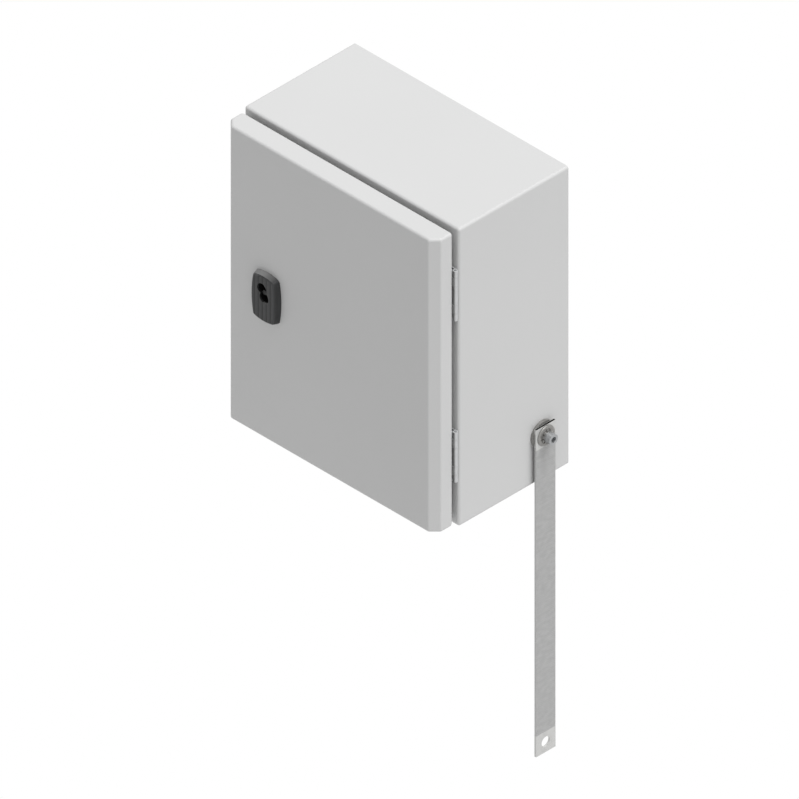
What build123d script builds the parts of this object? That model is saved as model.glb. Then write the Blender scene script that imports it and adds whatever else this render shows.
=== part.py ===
from build123d import *
import os
from math import radians, sqrt

os.makedirs("parts", exist_ok=True)

# Frame: millimetres, X to the right, +Y into the wall, Z up.
# The origin is the centre of the wall-fixing pattern, on the back face of the cabinet.

# Body
body_width = 250.0
body_height = 300.0
body_depth = 127.3
sheet = 1.5
fold_radius = 2.5
radius_step = 0.1
flange_width = 18.0
lip_reach = 15.0
lip_corner_radius = 5.0
wall_hole_inset = 25.0
wall_hole_radius = 4.25

# Door
door_side_margin = 2.5
door_end_margin = 2.25
door_depth = 21.3
door_gap = 4.6
door_bevel = 7.65
door_return = 12.0
door_return_corner = 4.0
gasket_width = 10.0
gasket_slope = 3.0
gasket_clearance = 0.35
gasket_corner_radius = 12.0

# Mounting plate on its four studs
plate_margin = 22.5
plate_thickness = 2.0
plate_corner_cut = 25.0
plate_stud_side = 27.5
plate_stud_end = 15.5
plate_stud_radius = 3.0
plate_standoff = 12.0
plate_standoff_flats = 10.0
plate_stud_free = 10.0

# Gland plate over the cable entry in the bottom
entry_side = 50.0
entry_depth = 60.0
entry_corner_radius = 5.0
entry_centre_y = -60.0
gland_overlap = 18.0
gland_gasket_width = 8.0
gland_gasket_thickness = 3.0
gland_plate_thickness = 1.5

# Earthing studs on the body's floor and inside the door
stud_radius = 3.0
stud_length = 15.0
body_stud_side = 21.0
body_stud_back = 29.3
door_stud_side = 42.5
door_stud_rise = 39.75

# Hinges
hinge_height = 50.0
upper_hinge_drop = 65.9
lower_hinge_rise = 71.5
barrel_room = 0.3
pin_radius = 1.25
leaf_thickness = 1.4
knuckle_gap = 0.2
leaf_relief = 0.3
door_knuckle_height = 8.4
door_knuckle_spacing = 27.2
body_leaf_width = 11.8
door_leaf_width = 9.8

# Quarter-turn lock
lock_side = 51.2
lock_z = 3.5
escutcheon_width = 31.0
escutcheon_height = 48.0
escutcheon_drop = 5.8
escutcheon_bow = 2.3
escutcheon_corner = 4.5
escutcheon_depth = 6.3
escutcheon_taper = 16.0
escutcheon_edge = 1.0
escutcheon_skin = 2.0
rib_pitch = 4.66
rib_count = 5
rib_groove_radius = 3.0
rib_groove_depth = 0.3
key_lobe_radius = 5.2
key_lobe_offset = 4.2
key_tilt = 18.0
key_socket_depth = 12.0
key_pin_radius = 2.2
insert_wall = 0.8
insert_gap = 0.1
insert_head_length = 17.2
insert_shaft_radius = 5.0
insert_square = 7.0
housing_wall = 1.0
housing_head_margin = 0.75
housing_rear_gap = 0.3
lock_nut_wall = 2.75
lock_nut_height = 4.0
cam_clearance = 1.2
cam_thickness = 3.0
cam_lap = 7.8
cam_hub_radius = 9.5
cam_tip_radius = 6.0
cam_screw_radius = 2.5
cam_screw_length = 9.0
cam_head_flats = 11.0
cam_head_height = 3.0

# Earthing strap and the screw that holds it
strap_y = -31.2
strap_screw_rise = 47.0
strap_length = 329.3
strap_width = 22.8
braid_width = 22.4
braid_thickness = 1.8
braid_corner = 0.6
lug_length = 20.7
lug_thickness = 2.2
lug_hole_radius = 5.0
lug_mouth_depth = 2.2
lug_mouth_width = 1.0
lug_corner = 0.8
contact_radius = 13.0
contact_thickness = 2.8
earth_washer_radius = 9.8
earth_washer_thickness = 1.6
lock_washer_radius = 6.6
lock_washer_root_radius = 5.0
lock_washer_thickness = 1.4
lock_washer_teeth = 10
earth_screw_radius = 3.0
earth_head_radius = 5.0
earth_head_height = 6.0
earth_socket_flats = 5.0
earth_socket_depth = 3.2
earth_screw_length = 20.0
earth_nut_flats = 10.0
earth_nut_height = 5.0

# Clearances between pieces
hole_clearance = 0.2
thread_clearance = 0.04
bearing_clearance = 0.05

# Sizes and places worked out from those above
wall_hole_x = body_width / 2 - wall_hole_inset
wall_hole_z = body_height / 2 - wall_hole_inset
door_width = body_width - 2 * door_side_margin
door_height = body_height - 2 * door_end_margin
entry_length = body_width - 2 * entry_side
plate_width = body_width - 2 * plate_margin
plate_height = body_height - 2 * plate_margin
plate_stud_x = plate_width / 2 - plate_stud_side
plate_stud_z = plate_height / 2 - plate_stud_end
flange_front = -body_depth
flange_rear = flange_front + sheet
aperture_x = body_width / 2 - flange_width - sheet
aperture_z = body_height / 2 - flange_width - sheet
lip_tip = flange_front - lip_reach
door_rear = flange_front - door_gap
door_front = door_rear - door_depth
skin_rear = door_front + sheet
seal_line_x = aperture_x + sheet / 2
seal_line_z = aperture_z + sheet / 2
back_inside = -sheet
floor_inside = -body_height / 2 + sheet
plate_rear = back_inside - plate_standoff
plate_front = plate_rear - plate_thickness
barrel_radius = door_gap / 2 - barrel_room
upper_hinge_z = body_height / 2 - upper_hinge_drop
lower_hinge_z = lower_hinge_rise - body_height / 2
hinge_x = body_width / 2 - barrel_radius
hinge_y = (flange_front + door_rear) / 2
leaf_edge = hinge_x - barrel_radius - leaf_relief
body_stud_x = body_width / 2 - body_stud_side
body_stud_y = flange_front + body_stud_back
door_stud_x = door_width / 2 - door_stud_side
door_stud_z = door_stud_rise - door_height / 2
wall_outside = body_width / 2
wall_inside = wall_outside - sheet
lug_inside = wall_outside + contact_thickness
lug_outside = lug_inside + lug_thickness
strap_middle = (lug_inside + lug_outside) / 2
strap_screw_z = strap_screw_rise - body_height / 2
strap_top = strap_screw_z + lug_length / 2
strap_bottom = strap_top - strap_length
lock_x = lock_side - door_width / 2
cam_reach = aperture_x + lock_x + cam_lap
insert_radius = key_lobe_offset + key_lobe_radius + insert_wall
housing_radius = insert_radius + bearing_clearance + housing_wall
housing_head_size = 2 * (housing_radius + housing_head_margin)
lock_nut_flats = 2 * (housing_radius + lock_nut_wall)
escutcheon_front = door_front - escutcheon_depth
head_front = escutcheon_front + escutcheon_skin
cam_front = flange_rear + cam_clearance
cam_rear = cam_front + cam_thickness
housing_rear = cam_front - housing_rear_gap
insert_front = head_front + insert_gap
insert_step = insert_front + insert_head_length


def front_slab(outline, rear, front):
    """A front-view outline made solid from y = rear forward to y = front."""
    return extrude(Plane.XZ.offset(-rear) * outline, amount=rear - front)


def along_y(shape, x, y, z):
    """A shape drawn up the Z axis, laid with that axis pointing at the wall."""
    return Pos(x, y, z) * Rot(X=-90) * shape


def along_x(shape, x, y, z):
    """A shape drawn up the Z axis, laid with that axis pointing to the right."""
    return Pos(x, y, z) * Rot(Y=90) * shape


def rod(radius, length):
    return Cylinder(radius, length, align=(Align.CENTER, Align.CENTER, Align.MIN))


def ring(outer_radius, inner_radius, height):
    return rod(outer_radius, height) - rod(inner_radius, height)


def hex_prism(flats, height):
    return extrude(RegularPolygon(flats / 2, 6, major_radius=False), amount=height)


def hex_nut(flats, height, thread_radius):
    return hex_prism(flats, height) - rod(thread_radius + thread_clearance, height)


def washer(outer_radius, thread_radius, thickness):
    return ring(outer_radius, thread_radius + hole_clearance, thickness)


def four_places(x, z):
    """The four corners of a fixing pattern that reaches x and z each way from the middle."""
    return [(-x, -z), (-x, z), (x, -z), (x, z)]


def group(solids):
    """Like pieces that share a node, kept as separate solids."""
    return Compound(children=list(solids))


def body_wrap():
    """The folded wrap: four walls, the front flange and the gutter lip turned forward from it."""
    outline = RectangleRounded(body_width, body_height, fold_radius + radius_step)
    outside = front_slab(outline, 0, flange_front)
    outside = fillet(outside.faces().sort_by(Axis.Y)[0].edges(), fold_radius)
    lip_outline = RectangleRounded(2 * (aperture_x + sheet), 2 * (aperture_z + sheet), lip_corner_radius)
    mouth_outline = RectangleRounded(2 * aperture_x, 2 * aperture_z, lip_corner_radius - sheet)
    wrap = outside - front_slab(inside_outline(), 0, flange_rear)
    wrap += front_slab(lip_outline, flange_rear, lip_tip)
    wrap -= front_slab(mouth_outline, flange_rear, lip_tip)
    entry = RectangleRounded(entry_length, entry_depth, entry_corner_radius)
    wrap -= extrude(Pos(0, entry_centre_y, -body_height / 2) * entry, amount=sheet)
    wrap -= along_x(rod(earth_screw_radius + hole_clearance, sheet), wall_inside, strap_y, strap_screw_z)
    return wrap


def inside_outline():
    """The space between the four walls, seen from the front."""
    return Rectangle(body_width - 2 * sheet, body_height - 2 * sheet)


def back_panel():
    """The plate welded into the rear of the wrap, with the four wall-fixing holes."""
    panel = front_slab(inside_outline(), 0, back_inside)
    for x, z in four_places(wall_hole_x, wall_hole_z):
        panel -= along_y(rod(wall_hole_radius, sheet), x, back_inside, z)
    return panel


def plate_studs():
    """Welded hexagonal standoffs with threaded ends, which carry the mounting plate."""
    foot = hex_prism(plate_standoff_flats, plate_standoff)
    thread = rod(plate_stud_radius, plate_standoff + plate_thickness + plate_stud_free)
    stud = Rot(X=180) * (foot + thread)
    return group(along_y(stud, x, back_inside, z) for x, z in four_places(plate_stud_x, plate_stud_z))


def mounting_plate():
    """Corners are cut away so that a driver reaches the wall screws past the plate."""
    outline = Rectangle(plate_width, plate_height)
    outline = chamfer(outline.vertices(), plate_corner_cut)
    plate = front_slab(outline, plate_rear, plate_front)
    for x, z in four_places(plate_stud_x, plate_stud_z):
        plate -= along_y(rod(plate_stud_radius + hole_clearance, plate_thickness), x, plate_front, z)
    return plate


def around_entry(margin):
    """The entry's length and depth in plan, let out by margin all round."""
    return entry_length + 2 * margin, entry_depth + 2 * margin


def gland_gasket():
    """A frame of foam strip round the entry, under the plate."""
    frame = Rectangle(*around_entry(gland_gasket_width)) - Rectangle(*around_entry(0))
    return extrude(Pos(0, entry_centre_y, floor_inside) * frame, amount=gland_gasket_thickness)


def gland_plate():
    """The removable plate that closes the cable entry from inside."""
    blank = RectangleRounded(*around_entry(gland_overlap), entry_corner_radius)
    height = floor_inside + gland_gasket_thickness
    return extrude(Pos(0, entry_centre_y, height) * blank, amount=gland_plate_thickness)


def hinge_leaf(face_y, width, knuckles):
    """A leaf welded flat on face_y, its strips rolled round the pin.

    knuckles holds the low and high end of each rolled eye, from the hinge's middle.
    """
    towards = 1 if hinge_y > face_y else -1
    inner_y = face_y + towards * leaf_thickness
    leaf = Pos(leaf_edge - width / 2, (face_y + inner_y) / 2, 0) * Box(width, leaf_thickness, hinge_height)
    strip = make_face(
        Polyline(
            (leaf_edge, face_y),
            (hinge_x - barrel_radius / 2, face_y),
            (hinge_x, hinge_y - towards * barrel_radius),
            (hinge_x, inner_y),
            (leaf_edge, inner_y),
            close=True,
        )
    )
    eye = strip + Pos(hinge_x, hinge_y) * Circle(barrel_radius)
    for low, high in knuckles:
        leaf += extrude(Pos(0, 0, low) * eye, amount=high - low)
    bore = pin_radius + bearing_clearance
    return leaf - Pos(hinge_x, hinge_y, -hinge_height / 2) * rod(bore, hinge_height)


def body_leaf(middle_z):
    """Three eyes, at both ends and in the middle."""
    end, inner = hinge_height / 2, (door_knuckle_spacing - door_knuckle_height) / 2 - knuckle_gap
    outer = (door_knuckle_spacing + door_knuckle_height) / 2 + knuckle_gap
    eyes = [(-end, -outer), (-inner, inner), (outer, end)]
    return Pos(0, 0, middle_z) * hinge_leaf(flange_front, body_leaf_width, eyes)


def door_leaf(middle_z):
    """Two eyes, between those of the body's leaf."""
    centre, half = door_knuckle_spacing / 2, door_knuckle_height / 2
    eyes = [(side * centre - half, side * centre + half) for side in (-1, 1)]
    return Pos(0, 0, middle_z) * hinge_leaf(door_rear, door_leaf_width, eyes)


def hinge_pin(middle_z):
    return Pos(hinge_x, hinge_y, middle_z - hinge_height / 2) * rod(pin_radius, hinge_height)


def door_corners(inset):
    """The door's outline seen from above, drawn in by inset: two rear corners and two bevels."""
    x, rear, front = door_width / 2 - inset, door_rear - inset, door_front + inset
    leg = door_bevel - inset * (2 - sqrt(2))
    return [(-x, rear), (x, rear), (x, front + leg), (x - leg, front), (leg - x, front), (-x, front + leg)]


def door_outside():
    """The folded sheet's outside. Upright folds and rims differ a little so that their corners blend."""
    plan = make_face(FilletPolyline(*door_corners(0), radius=fold_radius, close=True))
    block = extrude(Pos(0, 0, -door_height / 2) * plan, amount=door_height)
    return fillet(block.faces().filter_by(Axis.Z).edges(), fold_radius - radius_step)


def door_hollow():
    """The space inside the folded sheet."""
    plan = make_face(Polyline(*door_corners(sheet), close=True))
    height = door_height - 2 * sheet
    return extrude(Pos(0, 0, -height / 2) * plan, amount=height)


def door_panel():
    """The folded door: front skin, bevelled upright edges and a return lip all round its rear."""
    opening = RectangleRounded(
        door_width - 2 * door_return, door_height - 2 * door_return, door_return_corner
    )
    panel = door_outside() - door_hollow() - front_slab(opening, door_rear, door_rear - sheet)
    return panel - along_y(rod(housing_radius + hole_clearance, sheet), lock_x, door_front, lock_z)


def door_gasket():
    """The foam bead on the door's inside, its outer edge sloped where the gutter lip presses it."""
    x, z, half = seal_line_x, seal_line_z, gasket_width / 2
    outer = RectangleRounded(2 * (x + half), 2 * (z + half), gasket_corner_radius)
    inner = RectangleRounded(2 * (x - half), 2 * (z - half), gasket_corner_radius - gasket_width)
    face = lip_tip - gasket_clearance
    bead = front_slab(outer, face, skin_rear) - front_slab(inner, face, skin_rear)
    return chamfer(bead.faces().sort_by(Axis.Y)[-1].outer_wire().edges(), gasket_slope)


def bowed_outline(width, height):
    """Four sides bowed outwards, each a single arc, with rounded corners."""
    x, z = width / 2 - escutcheon_bow, height / 2 - escutcheon_bow
    arcs = [
        ThreePointArc((-x, z), (0, height / 2), (x, z)),
        ThreePointArc((x, z), (width / 2, 0), (x, -z)),
        ThreePointArc((x, -z), (0, -height / 2), (-x, -z)),
        ThreePointArc((-x, -z), (-width / 2, 0), (-x, z)),
    ]
    face = make_face(arcs)
    return fillet(face.vertices(), escutcheon_corner)


def keyhole():
    """Two round lobes that meet at a waist, tilted as the photograph shows them."""
    lobes = [Pos(0, side * key_lobe_offset) * Circle(key_lobe_radius) for side in (-1, 1)]
    return Rot(Z=key_tilt) * (lobes[0] + lobes[1])


def lock_escutcheon():
    """The moulded cover over the lock's head, tapered, bowed and ribbed. One quarter is mirrored."""
    outline = Plane.XZ.offset(-door_front) * bowed_outline(escutcheon_width, escutcheon_height)
    cover = extrude(outline, amount=escutcheon_depth, taper=escutcheon_taper)
    cover = chamfer(cover.faces().sort_by(Axis.Y)[0].edges(), escutcheon_edge)
    quarter = cover & front_slab(
        Pos(escutcheon_width / 2, escutcheon_height / 2) * Rectangle(escutcheon_width, escutcheon_height),
        door_front,
        escutcheon_front,
    )
    half = quarter + mirror(quarter, about=Plane.YZ)
    cover = half + mirror(half, about=Plane.XY)
    groove = Cylinder(rib_groove_radius, escutcheon_height)
    groove_y = escutcheon_front + rib_groove_depth - rib_groove_radius
    for i in range(rib_count):
        cover -= Pos((i - (rib_count - 1) / 2) * rib_pitch, groove_y, 0) * groove
    cover = Pos(lock_x, 0, lock_z - escutcheon_drop) * cover
    recess = housing_head_size + 2 * bearing_clearance
    hollow = front_slab(Rectangle(recess, recess), door_front, head_front)
    hollow += front_slab(keyhole(), head_front, escutcheon_front)
    return cover - Pos(lock_x, 0, lock_z) * hollow


def lock_housing():
    """Square head under the escutcheon, threaded barrel through the door, bored for the insert."""
    head = Rectangle(housing_head_size, housing_head_size)
    housing = Pos(lock_x, 0, lock_z) * front_slab(head, door_front, head_front)
    housing += along_y(rod(housing_radius, housing_rear - head_front), lock_x, head_front, lock_z)
    head_bore = rod(insert_radius + bearing_clearance, insert_step + bearing_clearance - head_front)
    shaft_bore = rod(insert_shaft_radius + bearing_clearance, housing_rear - head_front)
    return housing - along_y(head_bore + shaft_bore, lock_x, head_front, lock_z)


def lock_nut():
    return along_y(hex_nut(lock_nut_flats, lock_nut_height, housing_radius), lock_x, skin_rear, lock_z)


def lock_insert():
    """The turning core: a socket with a pin behind the keyhole, a shaft, and a square for the cam."""
    socket = front_slab(keyhole() - Circle(key_pin_radius), insert_front + key_socket_depth, insert_front)
    core = rod(insert_radius, insert_head_length)
    shaft = rod(insert_shaft_radius, cam_front - insert_step)
    square_length = cam_rear - insert_step - bearing_clearance
    square = extrude(Rectangle(insert_square, insert_square), amount=square_length)
    screw_hole = rod(cam_screw_radius + thread_clearance, cam_screw_length)
    rear = shaft + square - Pos(0, 0, square_length - cam_screw_length) * screw_hole
    core += Pos(0, 0, insert_head_length) * rear
    return along_y(core, lock_x, insert_front, lock_z) - Pos(lock_x, 0, lock_z) * socket


def lock_cam():
    """The tongue on the insert's square. Unlocked it hangs down, locked it reaches behind the flange."""
    tip_z = lock_z - cam_reach + cam_tip_radius
    hub = Pos(lock_x, lock_z) * Circle(cam_hub_radius)
    tip = Pos(lock_x, tip_z) * Circle(cam_tip_radius)
    outline = make_hull((hub + tip).edges())
    hole = 2 * bearing_clearance + insert_square
    outline -= Pos(lock_x, lock_z) * Rectangle(hole, hole)
    return front_slab(outline, cam_rear, cam_front)


def cam_screw():
    shank = along_y(rod(cam_screw_radius, cam_screw_length), lock_x, cam_rear - cam_screw_length, lock_z)
    return shank + along_y(hex_prism(cam_head_flats, cam_head_height), lock_x, cam_rear, lock_z)


def contact_washer():
    """The disc that keeps the strap off the painted wall."""
    piece = washer(contact_radius, earth_screw_radius, contact_thickness)
    return along_x(piece, wall_outside, strap_y, strap_screw_z)


def lug():
    """A pressed ferrule, free end up: rounded sides, the screw hole, and an open mouth at its end."""
    body = extrude(RectangleRounded(lug_thickness, strap_width, lug_corner), amount=lug_length)
    mouth_length = strap_width - 2 * lug_thickness
    to_top = (Align.CENTER, Align.CENTER, Align.MAX)
    mouth = Box(lug_mouth_width, mouth_length, lug_mouth_depth, align=to_top)
    body -= Pos(0, 0, lug_length) * mouth
    return body - along_x(rod(lug_hole_radius, lug_thickness), -lug_thickness / 2, 0, lug_length / 2)


def upper_lug():
    return Pos(strap_middle, strap_y, strap_top - lug_length) * lug()


def lower_lug():
    return Pos(strap_middle, strap_y, strap_bottom + lug_length) * Rot(X=180) * lug()


def strap_braid():
    """The flat braid hangs straight down between the lugs."""
    length = strap_length - 2 * lug_length
    braid = extrude(RectangleRounded(braid_thickness, braid_width, braid_corner), amount=length)
    return Pos(strap_middle, strap_y, strap_bottom + lug_length) * braid


def earth_flat_washer():
    piece = washer(earth_washer_radius, earth_screw_radius, earth_washer_thickness)
    return along_x(piece, lug_outside, strap_y, strap_screw_z)


def earth_lock_washer():
    """A toothed washer between the flat washer and the screw's head."""
    disc = rod(lock_washer_root_radius, lock_washer_thickness)
    tooth_width = lock_washer_radius * radians(180 / lock_washer_teeth)
    tooth = Box(
        lock_washer_radius - earth_screw_radius,
        tooth_width,
        lock_washer_thickness,
        align=(Align.MAX, Align.CENTER, Align.MIN),
    )
    for i in range(lock_washer_teeth):
        disc += Rot(Z=360 / lock_washer_teeth * i) * Pos(lock_washer_radius, 0, 0) * tooth
    disc -= rod(earth_screw_radius + hole_clearance, lock_washer_thickness)
    return along_x(disc, lug_outside + earth_washer_thickness, strap_y, strap_screw_z)


def earth_screw():
    """A socket-head cap screw, its head outside and its shank through the wall."""
    head = rod(earth_head_radius, earth_head_height)
    socket = hex_prism(earth_socket_flats, earth_socket_depth)
    socket = Pos(0, 0, earth_head_height - earth_socket_depth) * socket
    shank = Pos(0, 0, -earth_screw_length) * rod(earth_screw_radius, earth_screw_length)
    head_inside = lug_outside + earth_washer_thickness + lock_washer_thickness
    return along_x(head - socket + shank, head_inside, strap_y, strap_screw_z)


def earth_nut():
    piece = hex_nut(earth_nut_flats, earth_nut_height, earth_screw_radius)
    return along_x(piece, wall_inside - earth_nut_height, strap_y, strap_screw_z)


def body_earth_stud():
    return Pos(body_stud_x, body_stud_y, floor_inside) * rod(stud_radius, stud_length)


def door_earth_stud():
    return along_y(rod(stud_radius, stud_length), door_stud_x, skin_rear, door_stud_z)


def all_nodes():
    """Every named sub-part of the cabinet."""
    return {
        "body_wrap": body_wrap(),
        "back_panel": back_panel(),
        "plate_studs": plate_studs(),
        "mounting_plate": mounting_plate(),
        "gland_gasket": gland_gasket(),
        "gland_plate": gland_plate(),
        "body_earth_stud": body_earth_stud(),
        "upper_body_leaf": body_leaf(upper_hinge_z),
        "lower_body_leaf": body_leaf(lower_hinge_z),
        "upper_hinge_pin": hinge_pin(upper_hinge_z),
        "lower_hinge_pin": hinge_pin(lower_hinge_z),
        "contact_washer": contact_washer(),
        "upper_lug": upper_lug(),
        "strap_braid": strap_braid(),
        "lower_lug": lower_lug(),
        "earth_flat_washer": earth_flat_washer(),
        "earth_lock_washer": earth_lock_washer(),
        "earth_screw": earth_screw(),
        "earth_nut": earth_nut(),
        "door_panel": door_panel(),
        "door_gasket": door_gasket(),
        "upper_door_leaf": door_leaf(upper_hinge_z),
        "lower_door_leaf": door_leaf(lower_hinge_z),
        "door_earth_stud": door_earth_stud(),
        "lock_escutcheon": lock_escutcheon(),
        "lock_housing": lock_housing(),
        "lock_nut": lock_nut(),
        "lock_insert": lock_insert(),
        "lock_cam": lock_cam(),
        "cam_screw": cam_screw(),
    }


for name, shape in all_nodes().items():
    export_step(shape, f"parts/{name}.step")
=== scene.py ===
"""Looks of the control cabinet, laid out as an add-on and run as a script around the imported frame."""
import math

import bmesh
import bpy
from bpy.props import FloatProperty, FloatVectorProperty, IntProperty, PointerProperty
from mathutils import Matrix, Vector


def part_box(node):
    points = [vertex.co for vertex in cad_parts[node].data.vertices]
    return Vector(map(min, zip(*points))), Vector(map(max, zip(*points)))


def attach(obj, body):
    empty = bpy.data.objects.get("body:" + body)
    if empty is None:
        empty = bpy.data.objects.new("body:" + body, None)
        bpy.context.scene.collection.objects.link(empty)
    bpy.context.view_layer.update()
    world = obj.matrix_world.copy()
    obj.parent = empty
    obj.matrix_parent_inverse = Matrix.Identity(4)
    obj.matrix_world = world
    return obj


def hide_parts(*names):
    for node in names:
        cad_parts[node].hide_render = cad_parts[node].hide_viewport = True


bl_info = {
    "name": "Control cabinet",
    "version": (1, 0, 0),
    "blender": (4, 5, 0),
    "location": "View3D > Sidebar > Cabinet",
    "description": "Finishes and fine pieces of a small wall-mounted control cabinet",
    "category": "Object",
}

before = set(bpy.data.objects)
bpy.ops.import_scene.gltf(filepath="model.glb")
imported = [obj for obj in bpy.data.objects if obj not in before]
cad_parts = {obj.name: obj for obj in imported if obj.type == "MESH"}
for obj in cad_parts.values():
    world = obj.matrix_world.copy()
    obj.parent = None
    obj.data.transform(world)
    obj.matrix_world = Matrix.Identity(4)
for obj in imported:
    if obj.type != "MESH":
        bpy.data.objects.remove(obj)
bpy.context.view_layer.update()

MM = 0.001
MERGE_DISTANCE = 0.01 * MM

# What the photograph gives: an isometric view, its scale and the point at its middle
IMAGE_SIZE = 799
PIXELS_PER_METRE = 1215.0
VIEW_AZIMUTH = math.radians(45)
VIEW_ELEVATION = math.atan(math.sqrt(0.5))
VIEW_MIDDLE = Vector((-0.0358, -0.0358, -0.1474))
CAMERA_DISTANCE = 3.0

# The studio: where the one lamp stands, how broad it is, and the floor
LAMP_WAY = Vector((0.373, 0.113, 0.921))
LAMP_ANGLE = math.radians(28)
FLOOR_HALF_WIDTH = 4.0

# Sockets of a Mix node that is set to colours
MIX_FIRST, MIX_SECOND, MIX_RESULT = 6, 7, 2

# Radians that a Wave texture of scale 1 runs through in a metre
WAVE_RATE = 20

# Steps round a turned form, a stud and a drilled hole
TURNED_STEPS, STUD_STEPS, HOLE_STEPS = 60, 48, 96

# Shares of a nut's width across its flats: the radii of its bore, face and blank, and of its washer
NUT_BORE, NUT_FACE, NUT_BLANK = 0.3, 0.475, 0.6
WASHER_BORE, WASHER_EDGE = 0.32, 0.6

# Eased edges: a nut's, a washer's as a share of its thickness, a stud's as a share of its radius
NUT_EASE = 0.4 * MM
NUT_CHAMFER = math.radians(30)
WASHER_EASE = 0.15
STUD_CHAMFER = 0.2

# The braid: grid steps to a bundle, and how square a bundle's back is
WEAVE_STEPS = 6
BUNDLE_BOW = 0.6


def corners(node):
    """Lowest and highest corner of a frame node, as vectors."""
    low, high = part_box(node)
    return Vector(low), Vector(high)


def sizes():
    return bpy.context.scene.cabinet_sizes


def finishes():
    return bpy.context.scene.cabinet_finishes


def length_property(name, description, default, low, high):
    """A length, given in millimetres."""
    return FloatProperty(
        name=name, description=description, default=default * MM, min=low * MM, max=high * MM, unit="LENGTH"
    )


class CabinetSizes(bpy.types.PropertyGroup):
    """Sizes of the fine pieces"""

    strand_width: length_property("Strand width", "Width of one flat bundle of the braid", 1.6, 0.5, 5)
    weave_depth: length_property(
        "Weave depth", "How far a bundle of the braid stands over the one it crosses", 0.10, 0, 0.5
    )
    braid_edge: length_property(
        "Braid edge", "How far the braid's thin sides lean out to their middle", 0.15, 0.05, 0.8
    )
    braid_swell: length_property(
        "Braid swell", "How far the loose wires stand out past the strap's plain sides", 0.15, 0, 0.18
    )
    lug_wall: length_property(
        "Lug wall", "Wall of the flattened tube that each lug is pressed from", 0.2, 0.1, 0.8
    )
    lug_edge: length_property("Lug edge", "Rounding of a lug's long edges", 0.3, 0.1, 1)
    lug_mouth: length_property("Lug mouth", "How deep a lug's open end reaches", 4.0, 0.5, 5)
    lug_hole: length_property("Lug hole", "Radius of the hole through each lug", 5, 1, 8)
    thread_pitch: length_property("Thread pitch", "Distance from one thread to the next", 1.0, 0.4, 2)
    rib_pitch: length_property(
        "Rib pitch", "Distance from one groove of the lock's moulding to the next", 4.66, 1, 10
    )
    rim_roll: length_property(
        "Rim roll", "Width of the rolled rim of the earthing screw's washer", 2.4, 0.2, 4
    )
    rim_bore: length_property(
        "Rim bore", "Radius of the bore through the earthing screw's washer", 3.2, 3, 5
    )
    washer_thickness: length_property(
        "Washer thickness", "Thickness of the washers under the nuts", 1.2, 0.5, 3
    )
    nut_flats: length_property(
        "Nut width", "Width across the flats of the plate's and earthing studs' nuts", 10, 6, 16
    )
    nut_height: length_property(
        "Nut height", "Height of the plate's and earthing studs' nuts", 5, 2, 10
    )
    gland_nut_flats: length_property(
        "Gland nut width", "Width across the flats of the gland plate's nuts", 8, 5, 12
    )
    gland_nut_height: length_property("Gland nut height", "Height of the gland plate's nuts", 4, 2, 8)
    gland_stud_radius: length_property("Gland stud radius", "Radius of the gland plate's studs", 2.4, 1, 4)
    gland_stud_length: length_property(
        "Gland stud length", "Length of the gland plate's studs over the floor", 14, 8, 20
    )
    gland_stud_inset: length_property(
        "Gland stud inset", "From the gland plate's edge to the middle of its studs", 5, 3, 10
    )
    plate_shoulder: length_property(
        "Plate shoulder", "Width across the flats of the shoulders under the mounting plate", 10, 6, 16
    )
    bead_round: length_property("Bead rounding", "How far the foam bead's edges are rounded", 0.6, 0.1, 1)
    floor_drop: length_property("Floor drop", "How far the floor lies below the strap", 500, 0, 3000)
    route_points: IntProperty(
        name="Route points", description="Control points on the hanging strap",
        default=6, min=4, max=30,
    )


def colour_property(name, description, default):
    return FloatVectorProperty(
        name=name, description=description, default=default, size=3, min=0.0, max=1.0, subtype="COLOR",
    )


class CabinetFinishes(bpy.types.PropertyGroup):
    """Colours and surfaces of the cabinet"""

    paint: colour_property("Paint", "Light grey powder coat", (0.585, 0.586, 0.585))
    zinc: colour_property("Zinc", "Zinc plating on the fasteners and hinge pins", (0.56, 0.57, 0.58))
    galvanised: colour_property("Galvanised", "Galvanised sheet inside the cabinet", (0.50, 0.51, 0.52))
    hinge: colour_property("Hinge", "Pale passivated steel of the hinges", (0.56, 0.565, 0.57))
    # Painted shade: the dark colour that the hinge takes on faces turned towards the door, standing for the
    # gap's shadow.
    painted_hinge_shade: colour_property("Painted hinge shade", "Painted shade on the hinge where the door covers it", (0.19, 0.19, 0.19))
    washer: colour_property("Washer", "Dull plating of the earthing washers", (0.265, 0.26, 0.25))
    tin: colour_property("Tin", "Tinned copper of the lugs", (0.57, 0.57, 0.56))
    braid: colour_property("Braid", "Tinned copper wire of the braid", (0.412, 0.412, 0.410))
    plastic: colour_property("Plastic", "Dark moulding round the lock", (0.023, 0.024, 0.025))
    # Painted highlight: the grey that the lock's moulding takes on faces turned up and to the left.
    painted_edge_highlight: colour_property("Painted edge highlight", "Painted grey highlight along the moulding's upper left edge", (0.270, 0.270, 0.270))
    core: colour_property("Lock core", "Dark die casting that the key turns", (0.012, 0.012, 0.013))
    foam: colour_property("Foam", "Gasket foam", (0.030, 0.030, 0.031))
    key_light: FloatProperty(
        name="Key light", description="Strength of the lamp from above and the right",
        default=2.79, min=0.0, max=10.0,
    )
    fill_light: FloatProperty(
        name="Fill light", description="Strength of the even light from all round",
        default=0.462, min=0.0, max=2.0,
    )


def shade(colour, share):
    """The colour made darker or lighter by a share."""
    return tuple(min(1.0, part * share) for part in colour)


def wave_scale(pitch):
    """The scale at which a Wave texture repeats once to a pitch."""
    return math.tau / WAVE_RATE / pitch


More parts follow.
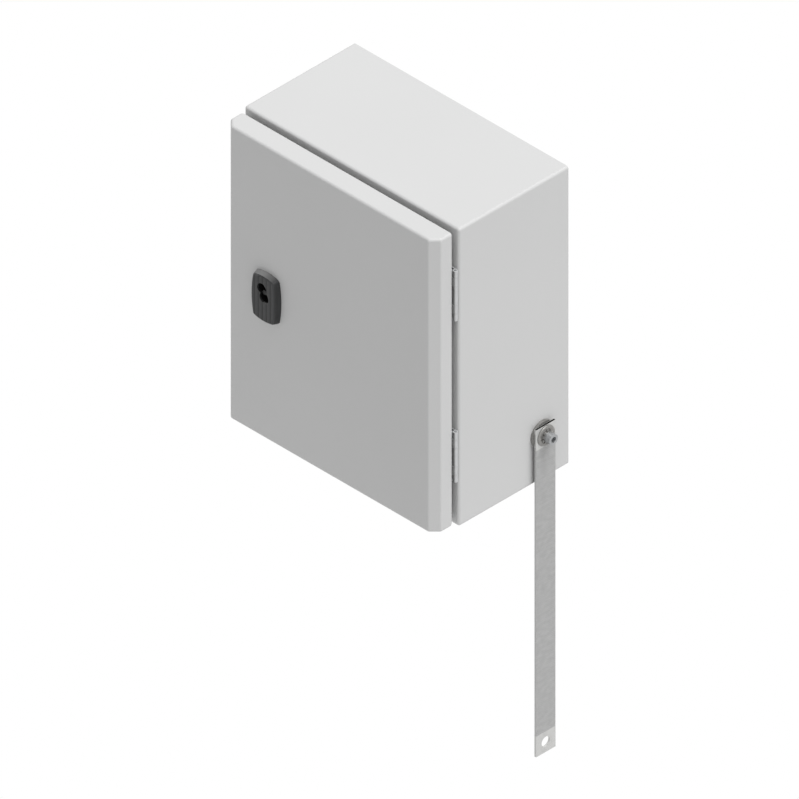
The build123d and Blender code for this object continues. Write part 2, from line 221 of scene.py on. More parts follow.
class Nodes:
    """A short way to add and join the nodes of one material."""

    def __init__(self, name):
        self.material = bpy.data.materials.new(name)
        self.material.use_nodes = True
        self.tree = self.material.node_tree
        self.shader = self.tree.nodes["Principled BSDF"]
        self.texture = self.add("ShaderNodeTexCoord")
        self.place = self.texture.outputs["Object"]

    def add(self, kind, **inputs):
        """A new node with some of its inputs set."""
        node = self.tree.nodes.new(kind)
        for name, value in inputs.items():
            self.set(node, name.replace("_", " "), value)
        return node

    def set(self, node, name, value):
        """Give an input a plain value, or join it to another node's output."""
        if isinstance(value, bpy.types.NodeSocket):
            self.tree.links.new(value, node.inputs[name])
        else:
            node.inputs[name].default_value = value

    def noise(self, scale, detail=2.0, stretch=(1.0, 1.0, 1.0)):
        """Cloudy patches, fixed to the piece."""
        place = self.add("ShaderNodeMapping", Vector=self.place, Scale=stretch)
        return self.add(
            "ShaderNodeTexNoise", Vector=place.outputs["Vector"], Scale=scale, Detail=detail
        ).outputs["Fac"]

    def bands(self, place, axis, scale, **inputs):
        """Stripes across an axis."""
        wave = self.add("ShaderNodeTexWave", Vector=place, Scale=scale, **inputs)
        wave.wave_type, wave.bands_direction = "BANDS", axis
        return wave.outputs["Fac"]

    def attribute(self, name):
        """What a layer of the piece's own mesh says."""
        node = self.add("ShaderNodeAttribute")
        node.attribute_name = name
        return node.outputs["Fac"]

    def maths(self, operation, *values):
        """The result of a sum on numbers or other nodes' outputs."""
        node = self.add("ShaderNodeMath")
        node.operation = operation
        for i, value in enumerate(values):
            self.set(node, i, value)
        return node.outputs["Value"]

    def between(self, factor, dark, light):
        """A colour that runs from dark to light with the factor."""
        ramp = self.add("ShaderNodeValToRGB", Fac=factor)
        ramp.color_ramp.elements[0].color = (*dark, 1.0)
        ramp.color_ramp.elements[1].color = (*light, 1.0)
        return ramp.outputs["Color"]

    def tones(self, factor, colour, darkest, lightest):
        """One colour that the factor takes from its darkest share to its lightest."""
        return self.between(factor, shade(colour, darkest), shade(colour, lightest))

    def value_between(self, factor, low, high):
        """A number that runs from low to high with the factor."""
        span = self.add("ShaderNodeMapRange", Value=factor, To_Min=low, To_Max=high)
        return span.outputs["Result"]

    def facing(self, way, start, end):
        """0 to 1 as the piece's own surface turns towards a direction."""
        dot = self.add("ShaderNodeVectorMath")
        dot.operation = "DOT_PRODUCT"
        self.set(dot, 0, self.texture.outputs["Normal"])
        self.set(dot, 1, way)
        return self.add(
            "ShaderNodeMapRange", Value=dot.outputs["Value"], From_Min=start, From_Max=end
        ).outputs["Result"]

    def blend(self, factor, first, second):
        """The first colour where the factor is 0, the second where it is 1."""
        mix = self.add("ShaderNodeMix", Factor=factor)
        mix.data_type = "RGBA"
        self.set(mix, MIX_FIRST, first)
        self.set(mix, MIX_SECOND, second)
        return mix.outputs[MIX_RESULT]

    def bump(self, height, distance, strength=1.0):
        """A skin raised by a height from 0 to 1 times a distance."""
        bumps = self.add("ShaderNodeBump", Height=height, Strength=strength, Distance=distance)
        return bumps.outputs["Normal"]

    def finish(self, **inputs):
        """The material, with its shader's inputs set."""
        for name, value in inputs.items():
            self.set(self.shader, name.replace("_", " "), value)
        return self.material


def paint_material():
    """Powder coat: even colour, a fine orange-peel skin and a satin sheen."""
    n = Nodes("light_grey_powder_coat")
    colour = tuple(finishes().paint)
    cloud = n.noise(9.0, 3.0)
    peel = n.noise(650.0, 2.0)
    return n.finish(
        Base_Color=n.tones(cloud, colour, 0.985, 1.015),
        Roughness=n.value_between(n.noise(40.0), 0.42, 0.52),
        Normal=n.bump(peel, 0.00006, 0.35),
    )


def zinc_material():
    """Bright plating, clouded by its bath."""
    n = Nodes("bright_zinc_plating")
    colour = tuple(finishes().zinc)
    cloud = n.noise(160.0, 4.0)
    return n.finish(
        Base_Color=n.tones(cloud, colour, 0.88, 1.1),
        Metallic=0.85,
        Roughness=n.value_between(n.noise(420.0, 3.0), 0.28, 0.46),
        Normal=n.bump(n.noise(1500.0, 2.0), 0.00004, 0.4),
    )


def hinge_material():
    """Passivated steel: pale on faces turned to the side, with a dark painted shade on faces turned towards
    the door.
    """
    n = Nodes("passivated_hinge_steel")
    colour, painted_hinge_shade = tuple(finishes().hinge), tuple(finishes().painted_hinge_shade)
    cloud = n.noise(120.0, 4.0)
    return n.finish(
        Base_Color=n.blend(
            # Painted light and shade by facing: the dark painted shade towards the door and the front, the
            # pale colour to the side.
            n.facing((0.707, 0.707, 0.0), -0.5, -0.05),
            n.tones(cloud, painted_hinge_shade, 0.85, 1.15),
            n.tones(cloud, colour, 0.92, 1.08),
        ),
        Metallic=0.15,
        Roughness=n.value_between(n.noise(380.0, 3.0), 0.45, 0.6),
        Normal=n.bump(n.noise(1400.0, 2.0), 0.00004, 0.4),
    )


def washer_material():
    """Dull plating, rubbed by tightening."""
    n = Nodes("dull_washer_plating")
    colour = tuple(finishes().washer)
    return n.finish(
        Base_Color=n.tones(n.noise(260.0, 4.0), colour, 0.8, 1.2),
        Metallic=0.6,
        Roughness=n.value_between(n.noise(500.0, 3.0), 0.30, 0.45),
        Normal=n.bump(n.noise(1100.0, 2.0), 0.00005, 0.5),
    )


def threaded_material(name, axis, start, way, colour):
    """Plated steel, with a thread along the axis from start on, towards way."""
    n = Nodes(name)
    along = n.add("ShaderNodeSeparateXYZ", Vector=n.place).outputs[axis]
    run_out = way * 0.05 * MM
    threaded = n.add("ShaderNodeMapRange", Value=along, From_Min=start - run_out, From_Max=start + run_out)
    crests = n.bands(n.place, axis, wave_scale(sizes().thread_pitch))
    height = n.maths("MULTIPLY", crests, threaded.outputs["Result"])
    return n.finish(
        Base_Color=n.tones(n.noise(160.0, 4.0), colour, 0.85, 1.08),
        Metallic=0.85,
        Roughness=n.value_between(n.noise(420.0, 3.0), 0.28, 0.46),
        Normal=n.bump(height, 0.0005),
    )


def galvanised_material():
    """Rolled galvanised sheet with a faint spangle."""
    n = Nodes("galvanised_sheet")
    colour = tuple(finishes().galvanised)
    spangle = n.add("ShaderNodeTexVoronoi", Vector=n.place, Scale=150.0).outputs["Color"]
    tone = n.add("ShaderNodeSeparateColor", Color=spangle).outputs["Red"]
    return n.finish(
        Base_Color=n.tones(tone, colour, 0.91, 1.07),
        Metallic=0.8,
        Roughness=n.value_between(tone, 0.34, 0.5),
        Normal=n.bump(n.noise(700.0, 2.0), 0.00005, 0.3),
    )


def tin_material():
    """Pressed tinned copper: smooth, with faint press marks along the lug."""
    n = Nodes("tinned_copper")
    colour = tuple(finishes().tin)
    streak = n.noise(220.0, 3.0, (1.0, 1.0, 0.15))
    return n.finish(
        Base_Color=n.tones(streak, colour, 0.92, 1.08),
        Metallic=0.55,
        Roughness=n.value_between(streak, 0.34, 0.48),
        Normal=n.bump(n.noise(900.0, 2.0), 0.00003, 0.5),
    )


def lug_mouth_shade_material():
    """Bare copper inside the lug's mouth, painted near black as the shade of the deep mouth."""
    n = Nodes("painted_shade_in_lug_mouth")
    return n.finish(
        Base_Color=n.between(n.noise(300.0, 3.0), (0.012, 0.011, 0.010), (0.030, 0.027, 0.024)),
        Metallic=0.3,
        Roughness=0.75,
    )


def braid_material():
    """Tinned wires in flat bundles: fine lines that lean one way or the other by the crossing, with painted
    shade where a bundle dips and between the wires, and painted light on the thin side turned to the front.
    """
    n = Nodes("tinned_copper_braid")
    colour = tuple(finishes().braid)
    lines = []
    for lean in (math.radians(45), math.radians(-45)):
        place = n.add("ShaderNodeMapping", Vector=n.place, Rotation=(lean, 0.0, 0.0)).outputs["Vector"]
        lines.append(n.bands(place, "Y", 900.0, Distortion=0.6, Detail=1.0, Detail_Scale=3.0))
    wires = n.add(
        "ShaderNodeMix", Factor=n.attribute("over"), A=lines[0], B=lines[1]
    ).outputs["Result"]
    # Painted shade: the tone falls where a bundle dips under its neighbour and in the fine grooves between
    # wires.
    tone = n.maths("MULTIPLY_ADD", n.attribute("raised"), 0.75, n.value_between(wires, 0.0, 0.25))
    weave = n.tones(tone, colour, 0.62, 1.14)
    rubbed = n.tones(tone, colour, 0.74, 1.32)
    patches = n.value_between(n.noise(300.0, 4.0, (1.0, 0.45, 1.0)), -0.9, 1.5)
    # Painted light: the thin side turned to the front is made lighter.
    front = n.facing((0.0, -1.0, 0.0), 0.6, 0.95)
    return n.finish(
        Base_Color=n.blend(front, n.blend(patches, weave, rubbed), n.tones(wires, colour, 1.05, 1.45)),
        Metallic=0.35,
        Roughness=0.5,
        Normal=n.bump(wires, 0.00008, 0.7),
    )


def plastic_material():
    """Fine-grained ribbed moulding, with painted shade in stripes between its ribs and a painted grey
    highlight along its upper left edge.
    """
    n = Nodes("dark_ribbed_moulding")
    colour = tuple(finishes().plastic)
    low, high = corners("lock_escutcheon")
    middle = (-(low.x + high.x) / 2, 0.0, 0.0)
    centred = n.add("ShaderNodeMapping", Vector=n.place, Location=middle).outputs["Vector"]
    # Painted shade: stripes at the grooves' pitch that darken the moulding between its ribs.
    ribs = n.bands(centred, "X", wave_scale(sizes().rib_pitch))
    return n.finish(
        Base_Color=n.blend(
            # Painted highlight on faces turned up and to the left.
            n.facing((-0.62, 0.0, 0.78), 0.50, 0.80),
            n.tones(ribs, colour, 0.62, 1.35),
            n.tones(n.noise(150.0, 3.0), tuple(finishes().painted_edge_highlight), 0.8, 1.2),
        ),
        Roughness=n.value_between(n.noise(300.0, 3.0), 0.42, 0.58),
        Normal=n.bump(n.noise(1900.0, 2.0), 0.00007, 0.5),
    )


def core_material():
    """Dark casting with a fine grain."""
    n = Nodes("dark_die_casting")
    colour = tuple(finishes().core)
    return n.finish(
        Base_Color=n.tones(n.noise(240.0, 3.0), colour, 0.7, 1.6),
        Metallic=0.4,
        Roughness=n.value_between(n.noise(500.0, 2.0), 0.35, 0.55),
        Normal=n.bump(n.noise(1300.0, 2.0), 0.00005, 0.5),
    )


def foam_material():
    """Cast foam: a matt skin with open pores, painted darker in them as shade."""
    n = Nodes("cast_gasket_foam")
    colour = tuple(finishes().foam)
    pores = n.add("ShaderNodeTexVoronoi", Vector=n.place, Scale=1400.0).outputs["Distance"]
    return n.finish(
        # Painted shade: darker in the pores, where the skin dips.
        Base_Color=n.tones(pores, colour, 0.6, 1.6),
        Roughness=0.93,
        Normal=n.bump(pores, 0.00025, 0.6),
    )


def dress(material, *names):
    """Put a material on frame nodes, in the slots that they have."""
    for name in names:
        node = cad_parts[name]
        if not node.material_slots:
            node.data.materials.append(material)
        for slot in node.material_slots:
            slot.material = material


def new_piece(name, mesh, material, body, replaced=()):
    """An object at the origin, on its body and with its slot, which may stand for frame nodes."""
    data = bpy.data.meshes.new(name)
    bmesh.ops.recalc_face_normals(mesh, faces=mesh.faces)
    mesh.to_mesh(data)
    mesh.free()
    piece = bpy.data.objects.new(name, data)
    bpy.context.scene.collection.objects.link(piece)
    data.materials.append(material)
    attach(piece, body)
    if replaced:
        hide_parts(*replaced)
    return piece


def smooth(piece, angle=math.radians(35)):
    piece.data.set_sharp_from_angle(angle=angle)
    for face in piece.data.polygons:
        face.use_smooth = True


def cut(piece, mesh, operation):
    """Take a closed form out of a piece, or keep only what the two share, and leave plain faces."""
    bmesh.ops.recalc_face_normals(mesh, faces=mesh.faces)
    data = bpy.data.meshes.new("cutter")
    mesh.to_mesh(data)
    mesh.free()
    cutter = bpy.data.objects.new("cutter", data)
    bpy.context.scene.collection.objects.link(cutter)
    knife = piece.modifiers.new("cut", "BOOLEAN")
    knife.object, knife.operation, knife.solver = cutter, operation, "EXACT"
    uncut = piece.data
    piece.data = bpy.data.meshes.new_from_object(piece.evaluated_get(bpy.context.evaluated_depsgraph_get()))
    piece.modifiers.clear()
    bpy.data.meshes.remove(uncut)
    bpy.data.objects.remove(cutter)
    bpy.data.meshes.remove(data)


def spun(mesh, profile, place):
    """Turn a closed profile of (radius, height) points once round the place's own axis."""
    verts = [mesh.verts.new(place @ Vector((radius, 0.0, height))) for radius, height in profile]
    edges = [mesh.edges.new((verts[i - 1], vert)) for i, vert in enumerate(verts)]
    bmesh.ops.spin(
        mesh, geom=verts + edges, cent=place.translation, axis=place.col[2].to_3d(), angle=math.tau,
        steps=TURNED_STEPS, use_merge=True,
    )


def hexagon_nuts(name, places, flats, height, body, material):
    """Hexagon bars cut by turned blanks, which leave the bores and the chamfered corners."""
    bars, blanks = bmesh.new(), bmesh.new()
    bore, face, reach = flats * NUT_BORE, flats * NUT_FACE, flats * NUT_BLANK
    drop = (reach - face) * math.tan(NUT_CHAMFER)
    half = [(bore, NUT_EASE), (bore + NUT_EASE, 0.0), (face, 0.0), (reach, drop)]
    profile = half + [(radius, height - rise) for radius, rise in reversed(half)]
    corner = flats / math.sqrt(3)
    for place in places:
        spun(blanks, profile, place)
        bmesh.ops.create_cone(
            bars, cap_ends=True, segments=6, radius1=corner, radius2=corner, depth=height * 2,
            matrix=place @ Matrix.Translation((0.0, 0.0, height / 2)),
        )
    nuts = new_piece(name, bars, material, body)
    cut(nuts, blanks, "INTERSECT")
    smooth(nuts)


def washers(name, places, bore, outer, body, material):
    """Flat stamped washers with eased edges."""
    mesh, thickness = bmesh.new(), sizes().washer_thickness
    ease = thickness * WASHER_EASE
    half = [(bore, ease), (bore + ease, 0.0), (outer - ease, 0.0), (outer, ease)]
    for place in places:
        spun(mesh, half + [(radius, thickness - rise) for radius, rise in reversed(half)], place)
    smooth(new_piece(name, mesh, material, body))


def stud_ends(name, places, radius, length, body, material):
    """Threaded studs, each with a chamfered free end."""
    mesh = bmesh.new()
    for place in places:
        bmesh.ops.create_cone(
            mesh, cap_ends=True, segments=STUD_STEPS, radius1=radius, radius2=radius, depth=length,
            matrix=place @ Matrix.Translation((0.0, 0.0, length / 2)),
        )
    outwards = places[0].col[2].to_3d()
    tips = [f for f in mesh.faces if len(f.verts) == STUD_STEPS and f.normal.dot(outwards) > 0]
    rims = [e for tip in tips for e in tip.edges]
    bmesh.ops.bevel(
        mesh, geom=rims, offset=radius * STUD_CHAMFER, segments=1, profile=0.5, affect="EDGES", material=-1,
    )
    smooth(new_piece(name, mesh, material, body))


class CABINET_OT_stage(bpy.types.Operator):
    """Make the floor, the lights and the camera at the photograph's angle"""

    bl_idname = "cabinet.stage"
    bl_label = "Stage"

    def execute(self, context):
        context.scene.view_settings.view_transform = "Standard"
        self.backdrop()
        self.floor()
        self.lamp()
        self.camera()
        return {"FINISHED"}

    def seen_directly(self, tree):
        """1 for what the camera, a mirror or a pane shows, 0 for what only lights the object."""
        path = tree.nodes.new("ShaderNodeLightPath")
        total = path.outputs["Is Camera Ray"]
        for name in ("Is Glossy Ray", "Is Transmission Ray"):
            plus = tree.nodes.new("ShaderNodeMath")
            plus.operation, plus.use_clamp = "ADD", True
            tree.links.new(total, plus.inputs[0])
            tree.links.new(path.outputs[name], plus.inputs[1])
            total = plus.outputs["Value"]
        return total

    def backdrop(self):
        """White where it is seen, dimmer where it only lights the cabinet."""
        world = bpy.data.worlds.new("studio")
        world.use_nodes = True
        tree = world.node_tree
        light = tree.nodes["Background"]
        light.inputs["Color"].default_value = (1.0, 1.0, 1.0, 1.0)
        light.inputs["Strength"].default_value = finishes().fill_light
        white = tree.nodes.new("ShaderNodeBackground")
        white.inputs["Color"].default_value = (1.0, 1.0, 1.0, 1.0)
        white.inputs["Strength"].default_value = 1.0
        mix = tree.nodes.new("ShaderNodeMixShader")
        tree.links.new(self.seen_directly(tree), mix.inputs["Fac"])
        tree.links.new(light.outputs["Background"], mix.inputs[1])
        tree.links.new(white.outputs["Background"], mix.inputs[2])
        tree.links.new(mix.outputs["Shader"], tree.nodes["World Output"].inputs["Surface"])
        bpy.context.scene.world = world

    def floor(self):
        """A pale floor far below the strap, which shows white too."""
        mesh = bmesh.new()
        bmesh.ops.create_grid(mesh, x_segments=2, y_segments=2, size=FLOOR_HALF_WIDTH)
        drop = corners("lower_lug")[0].z - sizes().floor_drop
        bmesh.ops.translate(mesh, vec=(0.0, 0.0, drop), verts=mesh.verts)
        data = bpy.data.meshes.new("floor")
        mesh.to_mesh(data)
        mesh.free()
        floor = bpy.data.objects.new("floor", data)
        bpy.context.scene.collection.objects.link(floor)
        material = bpy.data.materials.new("pale_floor")
        material.use_nodes = True
        tree = material.node_tree
        matt = tree.nodes["Principled BSDF"]
        matt.inputs["Base Color"].default_value = (0.8, 0.8, 0.8, 1.0)
        matt.inputs["Roughness"].default_value = 0.9
        white = tree.nodes.new("ShaderNodeEmission")
        mix = tree.nodes.new("ShaderNodeMixShader")
        tree.links.new(self.seen_directly(tree), mix.inputs["Fac"])
        tree.links.new(matt.outputs["BSDF"], mix.inputs[1])
        tree.links.new(white.outputs["Emission"], mix.inputs[2])
        tree.links.new(mix.outputs["Shader"], tree.nodes["Material Output"].inputs["Surface"])
        data.materials.append(material)

    def lamp(self):
        """One broad soft lamp, above and to the right of the cabinet."""
        light = bpy.data.lights.new("key", "SUN")
        light.energy = finishes().key_light
        light.angle = LAMP_ANGLE
        lamp = bpy.data.objects.new("key", light)
        bpy.context.scene.collection.objects.link(lamp)
        lamp.rotation_euler = LAMP_WAY.to_track_quat("Z", "Y").to_euler()

    def camera(self):
        """The photograph's angle, scale and middle."""
        data = bpy.data.cameras.new("camera")
        data.type = "ORTHO"
        data.ortho_scale = IMAGE_SIZE / PIXELS_PER_METRE
        data.clip_start, data.clip_end = 0.1, 20.0
        camera = bpy.data.objects.new("camera", data)
        bpy.context.scene.collection.objects.link(camera)
        level = math.cos(VIEW_ELEVATION)
        across, forward = math.sin(VIEW_AZIMUTH) * level, -math.cos(VIEW_AZIMUTH) * level
        back = Vector((across, forward, math.sin(VIEW_ELEVATION)))
        camera.location = VIEW_MIDDLE + back * CAMERA_DISTANCE
        camera.rotation_euler = back.to_track_quat("Z", "Y").to_euler()
        bpy.context.scene.camera = camera


class CABINET_OT_strap(bpy.types.Operator):
    """Weave the flat earthing strap and dress its lugs"""

    bl_idname = "cabinet.strap"
    bl_label = "Earthing strap"

    def execute(self, context):
        low, high = corners("strap_braid")
        self.middle_x, self.middle_y = (low.x + high.x) / 2, (low.y + high.y) / 2
        path = self.route(low.z, high.z)
        braid = self.weave(low, high)
        # inside is the painted shade for the lugs' mouths.
        tin, inside = tin_material(), lug_mouth_shade_material()
        self.lug("upper_ferrule", "upper_lug", 1, tin, inside)
        lower = self.lug("lower_ferrule", "lower_lug", -1, tin, inside)
        return {"FINISHED"}

    def lug(self, name, node, way, material, mouth_shade_material):
        """A flattened tube pressed over the braid, drilled for the screw, its free end open."""
        low, high = corners(node)
        thick, width, length = high - low
        wall, depth = sizes().lug_wall, sizes().lug_mouth
        mesh = bmesh.new()
        bmesh.ops.create_cube(mesh, size=1.0)
        bmesh.ops.scale(mesh, vec=(thick, width, length), verts=mesh.verts)
        upright = [e for e in mesh.edges if abs(e.verts[0].co.z - e.verts[1].co.z) > length / 2]
        bmesh.ops.bevel(
            mesh, geom=upright, offset=sizes().lug_edge, segments=4, profile=0.5, affect="EDGES",
            material=-1,
        )
        end = max(mesh.faces, key=lambda f: f.calc_center_median().z)
        bmesh.ops.inset_individual(mesh, faces=[end], thickness=wall, use_even_offset=True)
        floor = bmesh.ops.extrude_discrete_faces(mesh, faces=[end])["faces"][0]
        bmesh.ops.translate(mesh, vec=(0, 0, -depth), verts=floor.verts)
        # The mouth's inner faces take the painted shade material.
        for inside in {face for edge in floor.edges for face in edge.link_faces}:
            inside.material_index = 1
        middle = (low + high) / 2
        place = Matrix.Translation(middle) @ Matrix.Diagonal((1.0, 1.0, way, 1.0))
        bmesh.ops.transform(mesh, matrix=place, verts=mesh.verts)
        piece = new_piece(name, mesh, material, "cabinet", [node])
        piece.data.materials.append(mouth_shade_material)
        drill = bmesh.new()
        across = Matrix.Translation(middle) @ Matrix.Rotation(math.radians(90), 4, "Y")
        radius = sizes().lug_hole
        bmesh.ops.create_cone(
            drill, segments=HOLE_STEPS, radius1=radius, radius2=radius, depth=thick * 2, cap_ends=True,
            matrix=across,
        )
        cut(piece, drill, "DIFFERENCE")
        smooth(piece)
        return piece

    def route(self, bottom, top):
        """Points of the hanging line, read from a NURBS spline from the upper lug down."""
        count = sizes().route_points
        data = bpy.data.curves.new("strap_route", "CURVE")
        data.dimensions = "3D"
        spline = data.splines.new("NURBS")
        spline.points.add(count - 1)
        for i, point in enumerate(spline.points):
            z = top + (bottom - top) * i / (count - 1)
            point.co = (self.middle_x, self.middle_y, z, 1.0)
        spline.order_u = 3
        spline.use_endpoint_u = True
        curve = bpy.data.objects.new("strap_route", data)
        line = bpy.data.meshes.new_from_object(curve)
        points = [tuple(v.co) for v in line.vertices]
        bpy.data.meshes.remove(line)
        bpy.data.objects.remove(curve)
        bpy.data.curves.remove(data)
        return points

    def weave(self, low, high):
        """A grid as wide and long as the strap, raised where a bundle passes over, given its thickness."""
        swell, depth = sizes().braid_swell, sizes().weave_depth
        width, length = high.y - low.y + 2 * swell, high.z - low.z
        pitch = sizes().strand_width * math.sqrt(2)
        across, along = round(width / pitch * WEAVE_STEPS), round(length / pitch * WEAVE_STEPS)
        mesh = bmesh.new()
        raised = mesh.verts.layers.float.new("raised")
        over = mesh.verts.layers.float.new("over")
        bmesh.ops.create_grid(mesh, x_segments=along, y_segments=across, size=0.5)
        bmesh.ops.scale(mesh, vec=(length, width, 1.0), verts=mesh.verts)
        upright = Matrix(((0, 0, 1, 0), (0, 1, 0, 0), (1, 0, 0, 0), (0, 0, 0, 1)))
        bmesh.ops.transform(mesh, matrix=upright, verts=mesh.verts)
        back = bmesh.ops.duplicate(mesh, geom=list(mesh.faces))["geom"]
        back_verts = {
            vert for part in back if isinstance(part, bmesh.types.BMFace) for vert in part.verts
        }
        base = (high.x - low.x) / 2 + swell - depth
        step = width / across
        rim = width / 2 - step / 2
        spread = (width / 2 - sizes().braid_edge) / (width / 2 - step)
        for vert in mesh.verts:
            inside = abs(vert.co.y) < rim
            vert.co.y *= spread if inside else 1.0
            y, z = vert.co.y, vert.co.z
            right, left = (y + z) / pitch, (y - z) / pitch
            wave = math.sin(math.pi * right) * math.sin(math.pi * left)
            bow = abs(wave) ** BUNDLE_BOW
            height = base + depth * bow if inside else 0.0
            # The raised layer also carries the braid's painted shade, darker where a bundle dips.
            vert[raised] = 0.5 + 0.5 * bow
            vert[over] = 1.0 if wave > 0 else 0.0
            vert.co.x = -height if vert in back_verts else height
        bmesh.ops.remove_doubles(mesh, verts=mesh.verts, dist=MERGE_DISTANCE)
        bmesh.ops.holes_fill(mesh, edges=[e for e in mesh.edges if e.is_boundary], sides=0)
        middle = Vector((self.middle_x, self.middle_y, (low.z + high.z) / 2))
        bmesh.ops.translate(mesh, vec=middle, verts=mesh.verts)
        piece = new_piece(
            "woven_braid", mesh, braid_material(), "cabinet", ["strap_braid"]
        )
        smooth(piece)
        return piece


class CABINET_OT_sheet_metal(bpy.types.Operator):
    """Finish the painted shell and the bare sheet inside it"""

    bl_idname = "cabinet.sheet_metal"
    bl_label = "Sheet metal"

    def execute(self, context):
        dress(paint_material(), "body_wrap", "back_panel", "door_panel")
        dress(galvanised_material(), "mounting_plate", "gland_plate")
        return {"FINISHED"}


class CABINET_OT_fasteners(bpy.types.Operator):
    """Finish the hinges, studs, nuts and the earthing screw with its washers"""

    bl_idname = "cabinet.fasteners"
    bl_label = "Hinges and fasteners"

    def execute(self, context):
        zinc, dull = zinc_material(), washer_material()
        dress(hinge_material(), "upper_body_leaf", "lower_body_leaf", "upper_door_leaf", "lower_door_leaf")
        dress(
            zinc, "upper_hinge_pin", "lower_hinge_pin", "lock_nut", "cam_screw", "lock_cam", "earth_nut",
        )
        dress(dull, "earth_lock_washer", "contact_washer")
        self.rolled_washer(dull)
        bright, grey = tuple(finishes().zinc), shade(tuple(finishes().zinc), 0.75)
        plate_front = corners("mounting_plate")[0].y
        wall = corners("contact_washer")[0].x
        door_skin, floor = corners("door_earth_stud")[0].y, corners("body_earth_stud")[0].z
        dress(threaded_material("threads_of_plate_studs", "Y", plate_front, -1, bright), "plate_studs")
        dress(threaded_material("thread_of_earth_screw", "X", wall, -1, grey), "earth_screw")
        dress(threaded_material("thread_of_door_stud", "Y", door_skin, 1, bright), "door_earth_stud")
        threads = threaded_material("thread_of_floor_studs", "Z", floor, 1, bright)
        dress(threads, "body_earth_stud")
        self.plate_fixings(plate_front, zinc)
        self.gland_fixings(floor, zinc, threads)
        self.earth_fixing("door", "door_earth_stud", "Y", door_skin, zinc)
        self.earth_fixing("cabinet", "body_earth_stud", "Z", floor, zinc)
        return {"FINISHED"}

    def rolled_washer(self, material):
        """The flat washer against the lug, its outer rim rolled back."""
        low, high = corners("earth_flat_washer")
        middle = (low + high) / 2
        outer, thickness = (high.z - low.z) / 2, high.x - low.x
        roll, bore = sizes().rim_roll, sizes().rim_bore
        ease, edge, start, steps = roll * 0.3, thickness * 0.2, thickness * 0.3, 8
        mesh = bmesh.new()
        outline = [(bore, 0.0), (outer - ease, 0.0), (outer, edge)]
        for i in range(steps + 1):
            turn = math.radians(90) * i / steps
            rise = start + (thickness - start) * math.sin(turn)
            outline.append((outer - roll + roll * math.cos(turn), rise))
        outline.append((bore, thickness))
        across = Matrix.Rotation(math.radians(90), 4, "Y")
        spun(mesh, outline, Matrix.Translation((low.x, middle.y, middle.z)) @ across)
        smooth(new_piece(
            "rolled_washer", mesh, material, "cabinet", ["earth_flat_washer"]
        ))

    def fixings(self, name, places, flats, height, body, material):
        """A washer and a nut at each place."""
        bore, edge = flats * WASHER_BORE, flats * WASHER_EDGE
        washers(name + "_washers", places, bore, edge, body, material)
        above = Matrix.Translation((0.0, 0.0, sizes().washer_thickness))
        hexagon_nuts(name + "_nuts", [place @ above for place in places], flats, height, body, material)

    def plate_fixings(self, front, material):
        """Washers and nuts in front of the mounting plate, in the middle of the hexagon shoulders."""
        low, high = corners("plate_studs")
        side, end = sizes().plate_shoulder / math.sqrt(3), sizes().plate_shoulder / 2
        forward = Matrix.Rotation(math.radians(90), 4, "X")
        places = [
            Matrix.Translation((x, front, z)) @ forward
            for x in (low.x + side, high.x - side) for z in (low.z + end, high.z - end)
        ]
        self.fixings("plate", places, sizes().nut_flats, sizes().nut_height, "cabinet", material)

    def gland_fixings(self, floor, material, threads):
        """Studs up through the gland plate, three along each long edge, with washers and nuts."""
        low, high = corners("gland_plate")
        edge = sizes().gland_stud_inset
        spots = [
            (x, y) for x in (low.x + edge, (low.x + high.x) / 2, high.x - edge)
            for y in (low.y + edge, high.y - edge)
        ]
        tops = [Matrix.Translation((x, y, high.z)) for x, y in spots]
        flats, height = sizes().gland_nut_flats, sizes().gland_nut_height
        self.fixings("gland", tops, flats, height, "cabinet", material)
        feet = [Matrix.Translation((x, y, floor)) for x, y in spots]
        radius, length = sizes().gland_stud_radius, sizes().gland_stud_length
        stud_ends("gland_studs", feet, radius, length, "cabinet", threads)

    def earth_fixing(self, body, stud, axis, start, material):
        """A washer and a nut where an earthing stud leaves the sheet."""
        low, high = corners(stud)
        middle = (low + high) / 2
        setattr(middle, axis.lower(), start)
        turn = Matrix.Rotation(math.radians(-90), 4, "X") if axis == "Y" else Matrix.Identity(4)
        place = Matrix.Translation(middle) @ turn
        self.fixings(body + "_earth", [place], sizes().nut_flats, sizes().nut_height, body, material)


class CABINET_OT_lock(bpy.types.Operator):
    """Finish the ribbed lock escutcheon, its housing and the core that the key turns"""

    bl_idname = "cabinet.lock"
    bl_label = "Lock"

    def execute(self, context):
        dress(plastic_material(), "lock_escutcheon", "lock_housing")
        dress(core_material(), "lock_insert")
        return {"FINISHED"}


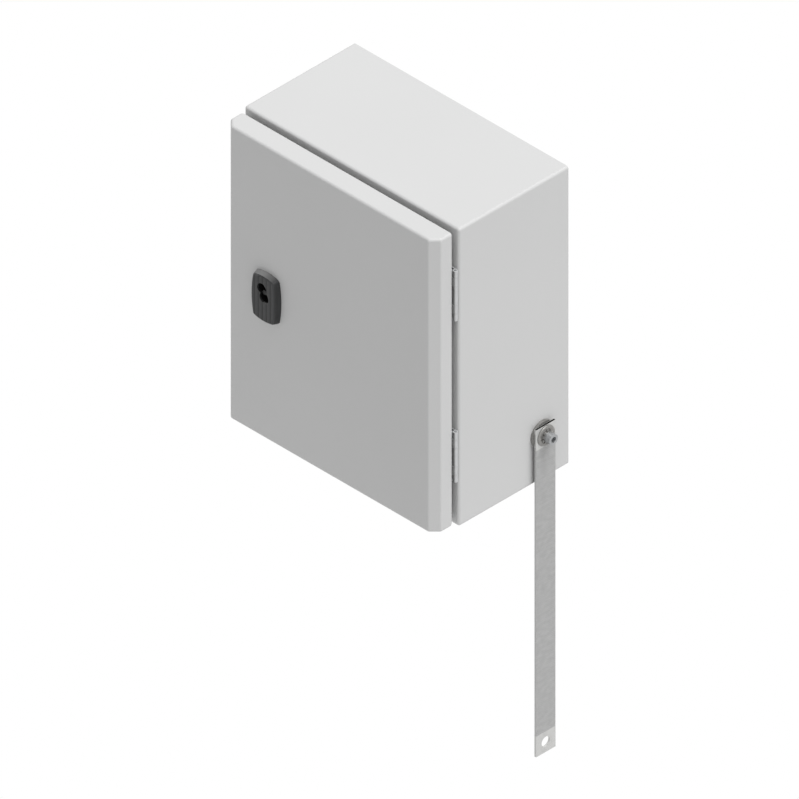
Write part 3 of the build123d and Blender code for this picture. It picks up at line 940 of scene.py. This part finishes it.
class CABINET_OT_gaskets(bpy.types.Operator):
    """Cast the foam beads round the door and under the gland plate"""

    bl_idname = "cabinet.gaskets"
    bl_label = "Gaskets"

    def execute(self, context):
        foam = foam_material()
        self.frame_bead("door_foam", "door_gasket", "door", foam)
        self.frame_bead("gland_foam", "gland_gasket", "cabinet", foam)
        return {"FINISHED"}

    def frame_bead(self, name, node, body, material):
        """A rounded copy of the frame node's bead."""
        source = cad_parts[node]
        mesh = bmesh.new()
        mesh.from_mesh(source.data)
        bmesh.ops.transform(mesh, matrix=source.matrix_world, verts=mesh.verts)
        bmesh.ops.remove_doubles(mesh, verts=mesh.verts, dist=MERGE_DISTANCE)
        bmesh.ops.dissolve_limit(
            mesh, angle_limit=math.radians(2), verts=mesh.verts, edges=mesh.edges,
            use_dissolve_boundaries=False,
        )
        corner = math.radians(25)
        sharp = [e for e in mesh.edges if len(e.link_faces) == 2 and e.calc_face_angle() > corner]
        bmesh.ops.bevel(
            mesh, geom=sharp, offset=sizes().bead_round, segments=3, profile=0.5, affect="EDGES",
            material=-1, clamp_overlap=True,
        )
        smooth(new_piece(name, mesh, material, body, [node]))


class CABINET_PT_sidebar(bpy.types.Panel):
    """Lists the cabinet's pieces, sizes and colours"""

    bl_idname = "CABINET_PT_sidebar"
    bl_label = "Control cabinet"
    bl_space_type = "VIEW_3D"
    bl_region_type = "UI"
    bl_category = "Cabinet"

    def draw(self, context):
        for operator in OPERATORS:
            self.layout.operator(operator.bl_idname)
        for group in (context.scene.cabinet_sizes, context.scene.cabinet_finishes):
            column = self.layout.column()
            for name in group.__annotations__:
                column.prop(group, name)


OPERATORS = (
    CABINET_OT_stage,
    CABINET_OT_strap,
    CABINET_OT_sheet_metal,
    CABINET_OT_fasteners,
    CABINET_OT_lock,
    CABINET_OT_gaskets,
)
CLASSES = (CabinetSizes, CabinetFinishes, *OPERATORS, CABINET_PT_sidebar)


def register():
    for cls in CLASSES:
        bpy.utils.register_class(cls)
    bpy.types.Scene.cabinet_sizes = PointerProperty(type=CabinetSizes)
    bpy.types.Scene.cabinet_finishes = PointerProperty(type=CabinetFinishes)


def unregister():
    del bpy.types.Scene.cabinet_finishes
    del bpy.types.Scene.cabinet_sizes
    for cls in reversed(CLASSES):
        bpy.utils.unregister_class(cls)


def main():
    register()
    for operator in OPERATORS:
        group, name = operator.bl_idname.split(".")
        getattr(getattr(bpy.ops, group), name)()


if __name__ == "__main__":
    main()
